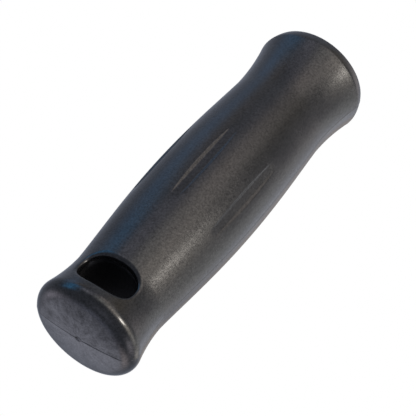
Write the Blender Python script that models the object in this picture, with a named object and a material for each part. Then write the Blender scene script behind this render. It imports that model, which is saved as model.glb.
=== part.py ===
"""Revolving hand grip of a winch handle, as its separate pieces.

Frame: metres, +Z up. The origin is the centre of the spindle's foot, which stands on the
crank arm. The grip's open rim is at the bottom and its closed, domed head is at the top.
The lanyard slot runs along Y through the head.
"""
import math

import bmesh
import bpy
from mathutils import Vector

MM = 0.001

# ---- how fine the round surfaces are -------------------------------------------------------
ROUND_SIDES = 40            # sides of every piece that is turned about the grip's axis
SCREW_SIDES = 20            # sides of the small screws
MERGE = 0.001 * MM          # points closer than this are one point

# ---- clearances ----------------------------------------------------------------------------
FACE_GAP = 0.3 * MM         # between faces that rest on each other
RUNNING_GAP = 0.1 * MM      # radial, between the spindle and what turns on it
RIM_LIFT = 0.8 * MM         # from the crank arm's face up to the grip's open rim

# ---- grip moulding, outside ----------------------------------------------------------------
GRIP_LENGTH = 125.9 * MM    # open rim to the top of the dome
HEAD_ROUND = 4.3 * MM       # round from the ridge over to the dome
DOME_RISE = 0.8 * MM        # how far the dome stands above where that round would end
HEAD_FLARE_LENGTH = 13.8 * MM
HEAD_FLARE_STEP = 1.8 * MM  # how much wider the head's ridge is than the upper neck
UPPER_NECK_WALL = 5.0 * MM  # plastic round the bore, at the upper neck
BELLY_WALL = 7.7 * MM
BELLY_PLACE = 0.452         # how far the belly lies up from the lower neck to the upper neck
LOWER_NECK_WALL = 6.15 * MM
FOOT_FLARE_LENGTH = 19.6 * MM
LAND_LENGTH = 3.4 * MM      # conical land from the flare's corner to the rim
LAND_STEP = 1.0 * MM        # how much wider the flare's corner is than the rim
RIM_WALL = 2.25 * MM        # plastic round the cartridge's recess, at the rim
BELLY_LEAD = 0.9            # how early the belly swells from a neck
BELLY_SOFTNESS = 1.3        # how softly it leaves the neck

# ---- lanyard slot ----------------------------------------------------------------------------
SLOT_COVER = 7.2 * MM       # solid plastic from the top of the dome down to the slot's lip
SLOT_WIDTH = 16.8 * MM
SLOT_HEIGHT = 10.6 * MM
SLOT_SQUARENESS = 2.7       # 2 is an ellipse, higher is squarer
SLOT_LIP = 1.5 * MM         # rounding of the mouth's edge
SLOT_WEB = 4.0 * MM         # solid plastic between the slot's lip and the bore's end

# ---- finger flutes -----------------------------------------------------------------------------
FLUTE_LENGTH = 33.0 * MM
FLUTE_LIFT = 3.7 * MM       # how far the flutes' middle lies above the belly
FLUTE_FLOOR = 2.4 * MM      # width of the flat floor
FLUTE_DEPTH = 0.65 * MM     # in the middle of its length
FLUTE_WALL_SLOPE = 30.0     # degrees
FLUTE_SPACING = 54.0        # degrees between neighbours on one half
FLUTES_PER_HALF = 3

# ---- spindle and its cartridge -----------------------------------------------------------------
JOURNAL_RADIUS = 6.0 * MM
JOURNAL_RELIEF = 0.3 * MM   # how far the spindle is relieved between the bushes
FOOT_FLANGE = 3.0 * MM      # how far the foot stands out beyond the journal
FOOT_THICKNESS = 3.0 * MM
FOOT_FLAT_DEPTH = 1.0 * MM  # cut off each side of the foot for a spanner
SOCKET_RADIUS = 3.4 * MM    # tapping size of the arm screw's thread
SOCKET_DEPTH = 20.0 * MM
SOCKET_CHAMFER = 0.8 * MM
DRILL_POINT = 1.9 * MM
SPINDLE_CHAMFER = 0.8 * MM
SPINDLE_END_DROP = 1.0 * MM     # sleeve's end down to the spindle's end
BUSH_WALL = 1.6 * MM
BUSH_LENGTH = 14.0 * MM
BUSH_CHAMFER = 0.4 * MM
SLEEVE_WALL = 1.8 * MM      # beside the bushes
SLEEVE_STEP = 0.8 * MM      # shoulder that each bush seats on
SLEEVE_FLANGE_THICKNESS = 2.2 * MM
SLEEVE_END_GAP = 0.5 * MM   # sleeve's end to the bore's end
SEAL_HEIGHT = 2.4 * MM
SEAL_POCKET_STEP = 0.6 * MM
SEAL_LIP = 0.7 * MM
GASKET_THICKNESS = 0.8 * MM

# ---- washers and circlip -------------------------------------------------------------------------
WASHER_THICKNESS = 1.0 * MM
WAVE_THICKNESS = 0.5 * MM
WAVE_RISE = 0.45 * MM       # each way from the wave washer's middle
WAVE_COUNT = 3
CLIP_THICKNESS = 1.0 * MM
CLIP_SEAT_DEPTH = 0.8 * MM  # groove's depth in the spindle
CLIP_BAND = 1.5 * MM
CLIP_MOUTH = 34.0           # degrees that the circlip leaves open
CLIP_END_MARGIN = 2.5 * MM  # circlip to the spindle's end
LUG_RADIUS = 1.25 * MM
LUG_HOLE_RADIUS = 0.5 * MM

# ---- screws -------------------------------------------------------------------------------------
SCREW_COUNT = 3
SCREW_HEAD_RADIUS = 2.4 * MM
SCREW_HEAD_HEIGHT = 1.7 * MM
SCREW_RADIUS = 1.25 * MM
SCREW_LENGTH = 11.0 * MM
SCREW_POINT = 1.0 * MM
SCREW_KEY_ACROSS = 1.9 * MM
SCREW_KEY_DEPTH = 1.0 * MM

# ---- sizes that follow -----------------------------------------------------------------------------
BUSH_INNER = JOURNAL_RADIUS + RUNNING_GAP
BUSH_OUTER = BUSH_INNER + BUSH_WALL
SLEEVE_INNER = BUSH_OUTER + FACE_GAP
SLEEVE_OUTER = SLEEVE_INNER + SLEEVE_WALL
SLEEVE_WAIST = SLEEVE_INNER - SLEEVE_STEP
SEAL_POCKET_RADIUS = SLEEVE_INNER + SEAL_POCKET_STEP
FOOT_RADIUS = JOURNAL_RADIUS + FOOT_FLANGE
BORE_RADIUS = SLEEVE_OUTER + FACE_GAP
SCREW_CIRCLE_RADIUS = BORE_RADIUS + SCREW_HEAD_RADIUS
SLEEVE_FLANGE_RADIUS = SCREW_CIRCLE_RADIUS + SCREW_HEAD_RADIUS
RECESS_RADIUS = SLEEVE_FLANGE_RADIUS + FACE_GAP

RIM_RADIUS = RECESS_RADIUS + RIM_WALL
FLARE_RADIUS = RIM_RADIUS + LAND_STEP
LOWER_NECK_RADIUS = BORE_RADIUS + LOWER_NECK_WALL
BELLY_RADIUS = BORE_RADIUS + BELLY_WALL
UPPER_NECK_RADIUS = BORE_RADIUS + UPPER_NECK_WALL
HEAD_RADIUS = UPPER_NECK_RADIUS + HEAD_FLARE_STEP           # ridge round the closed head

GRIP_TOP = RIM_LIFT + GRIP_LENGTH
FLARE_FOOT = LAND_LENGTH + FOOT_FLARE_LENGTH                # height of the lower neck above the rim
RIDGE = GRIP_LENGTH - DOME_RISE - HEAD_ROUND                # height of the head's ridge
UPPER_NECK = RIDGE - HEAD_FLARE_LENGTH
BELLY = FLARE_FOOT + BELLY_PLACE * (UPPER_NECK - FLARE_FOOT)
ROUND_CENTRE = HEAD_RADIUS - HEAD_ROUND                     # radius at which the head's round is centred
DOME_RADIUS = (ROUND_CENTRE ** 2 + DOME_RISE ** 2 + 2 * HEAD_ROUND * DOME_RISE) / (2 * DOME_RISE)
FLUTE_MIDDLE = BELLY + FLUTE_LIFT
SLOT_MIDDLE = GRIP_TOP - SLOT_COVER - SLOT_LIP - SLOT_HEIGHT / 2
BORE_END = SLOT_MIDDLE - SLOT_HEIGHT / 2 - SLOT_LIP - SLOT_WEB

LOWER_WASHER_BASE = FOOT_THICKNESS + FACE_GAP
SLEEVE_BASE = LOWER_WASHER_BASE + WASHER_THICKNESS + FACE_GAP
SLEEVE_FLANGE_TOP = SLEEVE_BASE + SLEEVE_FLANGE_THICKNESS
GASKET_BASE = SLEEVE_FLANGE_TOP + FACE_GAP
RECESS_FLOOR = GASKET_BASE + GASKET_THICKNESS + FACE_GAP
SEAL_BASE = SLEEVE_BASE + FACE_GAP
SEAL_POCKET_TOP = SEAL_BASE + SEAL_HEIGHT + FACE_GAP
LOWER_BUSH_BASE = SEAL_POCKET_TOP + FACE_GAP
LOWER_SHOULDER = LOWER_BUSH_BASE + BUSH_LENGTH + FACE_GAP
SLEEVE_END = BORE_END - SLEEVE_END_GAP

SPINDLE_END = SLEEVE_END - SPINDLE_END_DROP
CLIP_BASE = SPINDLE_END - CLIP_END_MARGIN - CLIP_THICKNESS
WAVE_BASE = CLIP_BASE - FACE_GAP - WAVE_THICKNESS - 2 * WAVE_RISE
UPPER_WASHER_BASE = WAVE_BASE - FACE_GAP - WASHER_THICKNESS
UPPER_BUSH_BASE = UPPER_WASHER_BASE - FACE_GAP - BUSH_LENGTH
UPPER_SHOULDER = UPPER_BUSH_BASE - FACE_GAP

SCREW_HEAD_BASE = SLEEVE_BASE - FACE_GAP - SCREW_HEAD_HEIGHT
SCREW_HOLE_RADIUS = SCREW_RADIUS + FACE_GAP
SCREW_TIP = SCREW_HEAD_BASE + SCREW_HEAD_HEIGHT + SCREW_LENGTH


# ---- scene and materials -----------------------------------------------------------------------------
def clear_scene():
    """Remove every object."""
    for thing in list(bpy.data.objects):
        bpy.data.objects.remove(thing, do_unlink=True)


def finish(name, colour, roughness, metallic=0.0):
    """Return a Principled material."""
    made = bpy.data.materials.new(name)
    made.use_nodes = True
    shader = made.node_tree.nodes["Principled BSDF"]
    shader.inputs["Base Color"].default_value = (*colour, 1.0)
    shader.inputs["Roughness"].default_value = roughness
    shader.inputs["Metallic"].default_value = metallic
    made.diffuse_color = (*colour, 1.0)
    return made


def group(name):
    """Return an empty on the grip's axis, for pieces that move together."""
    empty = bpy.data.objects.new(name, None)
    bpy.context.collection.objects.link(empty)
    return empty


# ---- shape tools -----------------------------------------------------------------------------------------
def place(name, bm, material, parent, location=(0, 0, 0)):
    """Turn a bmesh into a smooth-shaded object with its faces pointing out."""
    bmesh.ops.remove_doubles(bm, verts=bm.verts, dist=MERGE)
    bmesh.ops.recalc_face_normals(bm, faces=bm.faces)
    mesh = bpy.data.meshes.new(name)
    bm.to_mesh(mesh)
    bm.free()
    if material:
        mesh.materials.append(material)
    mesh.shade_smooth()
    mesh.set_sharp_from_angle(angle=math.radians(30))
    thing = bpy.data.objects.new(name, mesh)
    thing.location = location
    thing.parent = parent
    bpy.context.collection.objects.link(thing)
    return thing


def turned(outline, closed=True, sides=ROUND_SIDES):
    """Spin an outline of (radius, height) points about Z.

    A closed outline makes a ring. An open one starts and ends on the axis.
    """
    bm = bmesh.new()
    points = [bm.verts.new((radius, 0, height)) for radius, height in outline]
    edges = [bm.edges.new(pair) for pair in zip(points, points[1:])]
    if closed:
        edges.append(bm.edges.new((points[-1], points[0])))
    bmesh.ops.spin(bm, geom=points + edges, cent=(0, 0, 0), axis=(0, 0, 1),
                   angle=math.tau, steps=sides, use_merge=True)
    return bm


def ring_outline(inner, outer, height, chamfer):
    """Outline of a bush or washer with all four edges chamfered."""
    return [(inner + chamfer, 0), (outer - chamfer, 0), (outer, chamfer), (outer, height - chamfer),
            (outer - chamfer, height), (inner + chamfer, height), (inner, height - chamfer),
            (inner, chamfer)]


def lofted(rings):
    """Skin a list of closed rings of equal length and cap both ends."""
    bm = bmesh.new()
    loops = [[bm.verts.new(point) for point in ring] for ring in rings]
    for lower, upper in zip(loops, loops[1:]):
        for index in range(len(lower)):
            after = (index + 1) % len(lower)
            bm.faces.new((lower[index], lower[after], upper[after], upper[index]))
    bm.faces.new(reversed(loops[0]))
    bm.faces.new(loops[-1])
    return bm


def cut(target, name, bm, parent, location=(0, 0, 0)):
    """Cut a hidden tool's shape out of an object."""
    tool = place(name, bm, None, parent, location)
    tool.hide_render = True
    tool.display_type = "WIRE"
    step = target.modifiers.new(name, "BOOLEAN")
    step.operation = "DIFFERENCE"
    step.solver = "EXACT"
    step.object = tool


def disc(radius, low, high, sides=ROUND_SIDES):
    """A plain round bar from one height to another, as a cutting tool."""
    return turned([(0, low), (radius, low), (radius, high), (0, high)], closed=False, sides=sides)


def on_circle(radius, degrees):
    """Point on a circle about the grip's axis."""
    turn = math.radians(degrees)
    return Vector((radius * math.cos(turn), radius * math.sin(turn), 0))


def screw_angles():
    """Directions of the sleeve's screws, clear of the parting plane."""
    return [30 + index * 360 / SCREW_COUNT for index in range(SCREW_COUNT)]


# ---- the grip's outer curve ------------------------------------------------------------------------------
def flare_tangent():
    """Angle below the ridge at which the head's flare meets the head's round without a corner."""
    angle = 0.0
    for _ in range(30):
        rise = ROUND_CENTRE + HEAD_ROUND * math.cos(angle) - UPPER_NECK_RADIUS
        angle = math.atan(2 * rise / (HEAD_FLARE_LENGTH - HEAD_ROUND * math.sin(angle)))
    return angle


def swell(share):
    """Rise from 0 at a neck to 1 at the belly: a softened quarter sine."""
    return math.sin(math.pi / 2 * share ** BELLY_LEAD) ** BELLY_SOFTNESS


def side_radius(height):
    """Outer radius at a height above the rim, from the rim up to the head's round.

    A conical land, a parabolic flare, a swelling belly between two necks, and a second
    parabolic flare that runs into the head's round.
    """
    if height <= LAND_LENGTH:
        return RIM_RADIUS + (FLARE_RADIUS - RIM_RADIUS) * height / LAND_LENGTH
    if height <= FLARE_FOOT:
        share = (FLARE_FOOT - height) / FOOT_FLARE_LENGTH
        return LOWER_NECK_RADIUS + (FLARE_RADIUS - LOWER_NECK_RADIUS) * share ** 2
    if height <= BELLY:
        share = (height - FLARE_FOOT) / (BELLY - FLARE_FOOT)
        return LOWER_NECK_RADIUS + (BELLY_RADIUS - LOWER_NECK_RADIUS) * swell(share)
    if height <= UPPER_NECK:
        share = (UPPER_NECK - height) / (UPPER_NECK - BELLY)
        return UPPER_NECK_RADIUS + (BELLY_RADIUS - UPPER_NECK_RADIUS) * swell(share)
    angle = flare_tangent()
    join = RIDGE - HEAD_ROUND * math.sin(angle)
    if height <= join:
        share = (height - UPPER_NECK) / (join - UPPER_NECK)
        top = ROUND_CENTRE + HEAD_ROUND * math.cos(angle)
        return UPPER_NECK_RADIUS + (top - UPPER_NECK_RADIUS) * share ** 2
    return ROUND_CENTRE + math.sqrt(HEAD_ROUND ** 2 - min(HEAD_ROUND, abs(height - RIDGE)) ** 2)


def grip_outline():
    """Outer curve of the grip as (radius, height) points, from the rim to the middle of the dome."""
    join_angle = flare_tangent()
    join = RIDGE - HEAD_ROUND * math.sin(join_angle)
    spans = [(0, LAND_LENGTH, 1), (LAND_LENGTH, FLARE_FOOT, 5), (FLARE_FOOT, UPPER_NECK, 20),
             (UPPER_NECK, join, 5)]
    heights = [low + (high - low) * step / steps for low, high, steps in spans for step in range(steps)]
    points = [(side_radius(height), height) for height in heights]
    dome_edge = math.asin(ROUND_CENTRE / (DOME_RADIUS - HEAD_ROUND))
    round_steps = 7
    for step in range(round_steps + 1):
        turn = -join_angle + (math.pi / 2 - dome_edge + join_angle) * step / round_steps
        points.append((ROUND_CENTRE + HEAD_ROUND * math.cos(turn), RIDGE + HEAD_ROUND * math.sin(turn)))
    dome_steps = 3
    for step in range(dome_steps - 1, -1, -1):
        turn = dome_edge * step / dome_steps
        points.append((DOME_RADIUS * math.sin(turn), GRIP_LENGTH - DOME_RADIUS * (1 - math.cos(turn))))
    return points


# ---- cutting tools of the grip ---------------------------------------------------------------------------
def slot_section(growth):
    """Superellipse round the slot's middle, grown outwards by an amount, as (x, z) points."""
    sides = 28
    points = []
    for index in range(sides):
        turn = math.tau * (index + 0.5) / sides
        across = math.copysign(abs(math.cos(turn)) ** (2 / SLOT_SQUARENESS), math.cos(turn))
        along = math.copysign(abs(math.sin(turn)) ** (2 / SLOT_SQUARENESS), math.sin(turn))
        points.append(((SLOT_WIDTH / 2 + growth) * across, (SLOT_HEIGHT / 2 + growth) * along))
    return points


def slot_tool():
    """The slot's whole air space, whose two mouths flare in a round along the grip's skin."""
    def mouth_ring(side, growth, depth):
        ring = []
        for x, z in slot_section(growth):
            skin = side_radius(SLOT_MIDDLE + z - RIM_LIFT) - depth
            ring.append((x, side * math.sqrt(skin ** 2 - x ** 2), SLOT_MIDDLE + z))
        return ring

    lip_steps = 5
    lip_turn = math.radians(78)
    mouth = []
    for step in range(lip_steps + 1):
        turn = lip_turn * step / lip_steps
        mouth.append((SLOT_LIP * (1 - math.cos(turn)), SLOT_LIP * (1 - math.sin(turn))))
    clear_of_skin = 1.0 * MM
    reach = max(HEAD_RADIUS, UPPER_NECK_RADIUS) + clear_of_skin
    end = slot_section(mouth[-1][0])
    rings = [[(x, -reach, SLOT_MIDDLE + z) for x, z in end]]
    rings += [mouth_ring(-1, growth, depth) for growth, depth in reversed(mouth)]
    rings += [mouth_ring(1, growth, depth) for growth, depth in mouth]
    rings.append([(x, reach, SLOT_MIDDLE + z) for x, z in end])
    return lofted(rings)


def flute_tool(degrees):
    """A curved blade with a flat edge and sloping sides, whose cut fades out at both ends."""
    spread = 1 / math.tan(math.radians(FLUTE_WALL_SLOPE))
    outward = on_circle(1, degrees)
    across = on_circle(1, degrees + 90)
    back = 1.2 * MM
    steps = 12
    overrun = 1.1
    rings = []
    for step in range(steps + 1):
        share = (2 * step / steps - 1) * overrun
        height = FLUTE_MIDDLE + share * FLUTE_LENGTH / 2
        skin = side_radius(height)
        edge = skin - FLUTE_DEPTH * (1 - share ** 2)
        lift = Vector((0, 0, RIM_LIFT + height))
        floor = FLUTE_FLOOR / 2
        top = floor + spread * (skin + back - edge)
        corners = [(edge, floor), (skin + back, top), (skin + back, -top), (edge, -floor)]
        rings.append([outward * out + across * side + lift for out, side in corners])
    return lofted(rings)


# ---- pieces --------------------------------------------------------------------------------------------------
def make_grip_body(parent):
    """The moulded grip: domed head, slot, flutes, blind bore and the cartridge's recess."""
    skin = [(radius, RIM_LIFT + height) for radius, height in grip_outline()]
    hollow = [(0, BORE_END), (BORE_RADIUS, BORE_END), (BORE_RADIUS, RECESS_FLOOR),
              (RECESS_RADIUS, RECESS_FLOOR), (RECESS_RADIUS, RIM_LIFT)]
    bm = turned(hollow + skin, closed=False)
    body = place("grip_body", bm, finish("black_moulding", (0.02, 0.02, 0.022), 0.42), parent)
    cut(body, "slot_tool", slot_tool(), parent)
    for half_turn in (-90, 90):
        for index in range(FLUTES_PER_HALF):
            turn = half_turn + FLUTE_SPACING * (index - (FLUTES_PER_HALF - 1) / 2)
            cut(body, "flute_tool", flute_tool(turn), parent)
    for turn in screw_angles():
        low = RECESS_FLOOR - FACE_GAP
        hole = disc(SCREW_HOLE_RADIUS, low, SCREW_TIP + SCREW_POINT, SCREW_SIDES)
        cut(body, "pilot_hole_tool", hole, parent, on_circle(SCREW_CIRCLE_RADIUS, turn))


def make_spindle(parent):
    """Stepped steel spindle with a tapped foot, relieved waist and a circlip groove."""
    groove = JOURNAL_RADIUS - CLIP_SEAT_DEPTH
    waist = JOURNAL_RADIUS - JOURNAL_RELIEF
    outline = [(0, SOCKET_DEPTH + DRILL_POINT), (SOCKET_RADIUS, SOCKET_DEPTH),
               (SOCKET_RADIUS, SOCKET_CHAMFER), (SOCKET_RADIUS + SOCKET_CHAMFER, 0),
               (FOOT_RADIUS, 0), (FOOT_RADIUS, FOOT_THICKNESS), (JOURNAL_RADIUS, FOOT_THICKNESS),
               (JOURNAL_RADIUS, LOWER_SHOULDER), (waist, LOWER_SHOULDER + JOURNAL_RELIEF),
               (waist, UPPER_SHOULDER - JOURNAL_RELIEF), (JOURNAL_RADIUS, UPPER_SHOULDER),
               (JOURNAL_RADIUS, CLIP_BASE - RUNNING_GAP), (groove, CLIP_BASE - RUNNING_GAP),
               (groove, CLIP_BASE + CLIP_THICKNESS + RUNNING_GAP),
               (JOURNAL_RADIUS, CLIP_BASE + CLIP_THICKNESS + RUNNING_GAP),
               (JOURNAL_RADIUS, SPINDLE_END - SPINDLE_CHAMFER),
               (JOURNAL_RADIUS - SPINDLE_CHAMFER, SPINDLE_END), (0, SPINDLE_END)]
    steel = finish("stainless_steel", (0.62, 0.62, 0.6), 0.28, 1.0)
    spindle = place("spindle", turned(outline, closed=False), steel, parent)
    for side in (-1, 1):
        bm = bmesh.new()
        bmesh.ops.create_cube(bm, size=2 * FOOT_RADIUS)
        reach = side * (2 * FOOT_RADIUS - FOOT_FLAT_DEPTH)
        cut(spindle, "spanner_flat_tool", bm, parent, (0, reach, FOOT_THICKNESS + FACE_GAP - FOOT_RADIUS))


def make_bearing_sleeve(parent):
    """Flanged aluminium sleeve that carries the bushes and the seal inside the grip."""
    outline = [(SEAL_POCKET_RADIUS, 0), (SLEEVE_FLANGE_RADIUS, 0),
               (SLEEVE_FLANGE_RADIUS, SLEEVE_FLANGE_THICKNESS), (SLEEVE_OUTER, SLEEVE_FLANGE_THICKNESS),
               (SLEEVE_OUTER, SLEEVE_END - SLEEVE_BASE), (SLEEVE_INNER, SLEEVE_END - SLEEVE_BASE),
               (SLEEVE_INNER, UPPER_SHOULDER - SLEEVE_BASE), (SLEEVE_WAIST, UPPER_SHOULDER - SLEEVE_BASE),
               (SLEEVE_WAIST, LOWER_SHOULDER - SLEEVE_BASE), (SLEEVE_INNER, LOWER_SHOULDER - SLEEVE_BASE),
               (SLEEVE_INNER, SEAL_POCKET_TOP - SLEEVE_BASE),
               (SEAL_POCKET_RADIUS, SEAL_POCKET_TOP - SLEEVE_BASE)]
    alloy = finish("anodised_aluminium", (0.55, 0.56, 0.58), 0.38, 1.0)
    sleeve = place("bearing_sleeve", turned(outline), alloy, parent, (0, 0, SLEEVE_BASE))
    for turn in screw_angles():
        low = SLEEVE_BASE - FACE_GAP
        hole = disc(SCREW_HOLE_RADIUS, low, SLEEVE_FLANGE_TOP + FACE_GAP, SCREW_SIDES)
        cut(sleeve, "flange_hole_tool", hole, parent, on_circle(SCREW_CIRCLE_RADIUS, turn))


def make_flange_gasket(parent):
    """Flat rubber ring between the sleeve's flange and the grip."""
    outline = [(BORE_RADIUS, 0), (SLEEVE_FLANGE_RADIUS, 0), (SLEEVE_FLANGE_RADIUS, GASKET_THICKNESS),
               (BORE_RADIUS, GASKET_THICKNESS)]
    rubber = finish("gasket_rubber", (0.015, 0.015, 0.016), 0.75)
    gasket = place("flange_gasket", turned(outline), rubber, parent, (0, 0, GASKET_BASE))
    for turn in screw_angles():
        low = GASKET_BASE - FACE_GAP / 2
        hole = disc(SCREW_HOLE_RADIUS, low, RECESS_FLOOR - FACE_GAP / 2, SCREW_SIDES)
        cut(gasket, "gasket_hole_tool", hole, parent, on_circle(SCREW_CIRCLE_RADIUS, turn))


def make_bushes(parent):
    """Two acetal bushes, one at each end of the sleeve."""
    acetal = finish("white_acetal", (0.82, 0.82, 0.78), 0.45)
    for name, base in (("lower_bush", LOWER_BUSH_BASE), ("upper_bush", UPPER_BUSH_BASE)):
        outline = ring_outline(BUSH_INNER, BUSH_OUTER, BUSH_LENGTH, BUSH_CHAMFER)
        place(name, turned(outline), acetal, parent, (0, 0, base))


def make_shaft_seal(parent):
    """Rubber seal in the sleeve's mouth, with a lip that wipes the spindle."""
    inner = JOURNAL_RADIUS + RUNNING_GAP
    outer = SEAL_POCKET_RADIUS - FACE_GAP
    heel = inner + SEAL_LIP
    outline = [(inner, 0), (outer, 0), (outer, SEAL_HEIGHT), (heel, SEAL_HEIGHT),
               (heel, SEAL_HEIGHT / 2), (inner, SEAL_HEIGHT / 4)]
    rubber = finish("seal_rubber", (0.03, 0.03, 0.035), 0.6)
    place("shaft_seal", turned(outline), rubber, parent, (0, 0, SEAL_BASE))


def make_thrust_washers(parent):
    """Plastic washer on the foot, steel washer over the upper bush."""
    chamfer = 0.2 * MM
    inner = JOURNAL_RADIUS + FACE_GAP
    lower = ring_outline(inner, FOOT_RADIUS, WASHER_THICKNESS, chamfer)
    nylon = finish("grey_nylon", (0.35, 0.35, 0.36), 0.5)
    place("lower_thrust_washer", turned(lower), nylon, parent, (0, 0, LOWER_WASHER_BASE))
    upper = ring_outline(inner, SLEEVE_INNER - FACE_GAP, WASHER_THICKNESS, chamfer)
    steel = finish("washer_steel", (0.6, 0.6, 0.59), 0.32, 1.0)
    place("upper_thrust_washer", turned(upper), steel, parent, (0, 0, UPPER_WASHER_BASE))


def make_wave_washer(parent):
    """Spring washer: a flat ring whose height follows a cosine round its rim."""
    inner = JOURNAL_RADIUS + FACE_GAP
    outer = SLEEVE_INNER - FACE_GAP
    bm = turned([(inner, 0), (outer, 0), (outer, WAVE_THICKNESS), (inner, WAVE_THICKNESS)])
    for vert in bm.verts:
        vert.co.z += WAVE_RISE * math.cos(WAVE_COUNT * math.atan2(vert.co.y, vert.co.x))
    steel = finish("spring_steel", (0.45, 0.45, 0.46), 0.35, 1.0)
    place("wave_washer", bm, steel, parent, (0, 0, WAVE_BASE + WAVE_RISE))


def make_circlip(parent):
    """External circlip: an open band with two drilled lugs at its mouth."""
    inner = JOURNAL_RADIUS - CLIP_SEAT_DEPTH + FACE_GAP
    outer = inner + CLIP_BAND
    lug_reach = SLEEVE_INNER - FACE_GAP - LUG_RADIUS
    half_mouth = CLIP_MOUTH / 2
    lug_turn = half_mouth + math.degrees(LUG_RADIUS / lug_reach)
    arc_steps = 30
    lug_steps = 6
    low, high = lug_turn, 360 - lug_turn
    points = [on_circle(outer, low + (high - low) * step / arc_steps) for step in range(arc_steps + 1)]
    for side, turn in ((-1, high), (1, low)):
        spot = on_circle(lug_reach, turn)
        start = turn if side < 0 else turn - 90
        arc = [spot + on_circle(LUG_RADIUS, start + 90 * step / lug_steps) for step in range(lug_steps + 1)]
        if side < 0:
            tail = on_circle(inner, 360 - half_mouth)
            points += arc + [tail]
            back = [on_circle(inner, high + (low - high) * step / arc_steps) for step in range(arc_steps + 1)]
            points += back
        else:
            points += [on_circle(inner, half_mouth)] + arc
    bm = bmesh.new()
    flat = bm.faces.new([bm.verts.new(point) for point in points])
    raised = bmesh.ops.extrude_face_region(bm, geom=[flat])
    lifted = [item for item in raised["geom"] if isinstance(item, bmesh.types.BMVert)]
    bmesh.ops.translate(bm, verts=lifted, vec=(0, 0, CLIP_THICKNESS))
    steel = finish("clip_steel", (0.4, 0.4, 0.42), 0.3, 1.0)
    clip = place("retaining_circlip", bm, steel, parent, (0, 0, CLIP_BASE))
    for turn in (low, high):
        hole = disc(LUG_HOLE_RADIUS, CLIP_BASE - FACE_GAP / 2, CLIP_BASE + CLIP_THICKNESS + FACE_GAP, 10)
        cut(clip, "lug_hole_tool", hole, parent, on_circle(lug_reach, turn))


def make_sleeve_screws(parent):
    """Pan-head screws that hold the sleeve's flange in the grip's recess."""
    rim = 0.5 * MM
    outline = [(0, 0), (SCREW_HEAD_RADIUS - rim, 0), (SCREW_HEAD_RADIUS, rim),
               (SCREW_HEAD_RADIUS, SCREW_HEAD_HEIGHT), (SCREW_RADIUS, SCREW_HEAD_HEIGHT),
               (SCREW_RADIUS, SCREW_HEAD_HEIGHT + SCREW_LENGTH - SCREW_POINT),
               (0, SCREW_HEAD_HEIGHT + SCREW_LENGTH)]
    steel = finish("screw_steel", (0.66, 0.66, 0.65), 0.25, 1.0)
    for index, turn in enumerate(screw_angles(), start=1):
        spot = on_circle(SCREW_CIRCLE_RADIUS, turn) + Vector((0, 0, SCREW_HEAD_BASE))
        bm = turned(outline, closed=False, sides=SCREW_SIDES)
        screw = place(f"sleeve_screw_{index}", bm, steel, parent, spot)
        key = disc(SCREW_KEY_ACROSS / math.sqrt(3), -FACE_GAP, SCREW_KEY_DEPTH, 6)
        cut(screw, "screw_key_tool", key, parent, spot)


def main():
    """Build every piece."""
    clear_scene()
    spindle_group = group("spindle_group")
    grip_group = group("grip_axis")
    make_grip_body(grip_group)
    make_bearing_sleeve(grip_group)
    make_bushes(grip_group)
    make_shaft_seal(grip_group)
    make_flange_gasket(grip_group)
    make_sleeve_screws(grip_group)
    make_spindle(spindle_group)
    make_thrust_washers(spindle_group)
    make_wave_washer(spindle_group)
    make_circlip(spindle_group)


main()
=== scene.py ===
"""Finished look of a winch handle's revolving hand grip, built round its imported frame.

Metres, +Z up. The spindle's foot stands at the origin, the grip's open rim faces down and its
domed head is at the top. The lanyard slot runs along Y through the head. Every new piece is a
closed surface laid out as rows (along a profile) by columns (round the axis).
"""
import logging
from dataclasses import dataclass, field
from enum import Enum

import bpy
import numpy as np
from mathutils import Matrix, Vector


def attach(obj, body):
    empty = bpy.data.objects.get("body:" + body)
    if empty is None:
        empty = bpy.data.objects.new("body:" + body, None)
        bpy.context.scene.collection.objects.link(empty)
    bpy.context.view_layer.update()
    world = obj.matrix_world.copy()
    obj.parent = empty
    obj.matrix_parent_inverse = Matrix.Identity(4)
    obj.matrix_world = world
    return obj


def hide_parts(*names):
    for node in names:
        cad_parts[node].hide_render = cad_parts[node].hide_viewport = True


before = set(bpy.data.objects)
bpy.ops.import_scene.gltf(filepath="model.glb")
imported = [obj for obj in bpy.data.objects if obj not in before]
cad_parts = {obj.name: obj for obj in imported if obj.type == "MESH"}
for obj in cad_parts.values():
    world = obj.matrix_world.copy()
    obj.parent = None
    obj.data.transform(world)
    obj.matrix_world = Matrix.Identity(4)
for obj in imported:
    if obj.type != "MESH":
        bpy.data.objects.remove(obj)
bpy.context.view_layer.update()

LOG = logging.getLogger("grip")
MM = 0.001
WELD = 1e-7                 # points closer than this are one point
RUNNING_GAP = 0.1 * MM      # between the circlip and each side of its groove
SHARP_ANGLE = 38.0          # degrees between two faces from which their edge is sharp
HOLE_WINDOW = 9.6           # degrees on each side of a screw hole
NOISE_RANGE = (0.3, 0.7)    # nearly all noise lies in it
PLAIN_MIRROR = 0.5          # specular level that leaves the mirror as the IOR gives it


class Body(Enum):
    """The two rigid groups of the frame."""

    SPINDLE = "spindle"
    GRIP = "grip"


class Slot(Enum):
    """The record's material slots."""

    MOULDING = "black_moulding"
    ALLOY = "anodised_aluminium"
    ACETAL = "white_acetal"
    RUBBER = "black_rubber"
    SCREW = "screw_steel"
    STAINLESS = "stainless_steel"
    NYLON = "grey_nylon"
    SPRING = "spring_steel"


class Marks(Enum):
    """How a surface was worked, which sets its fine lines."""

    NONE = "none"
    TURNED = "turned"       # rings about the grip's axis
    DRAWN = "drawn"         # lines along the grip's axis


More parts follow.
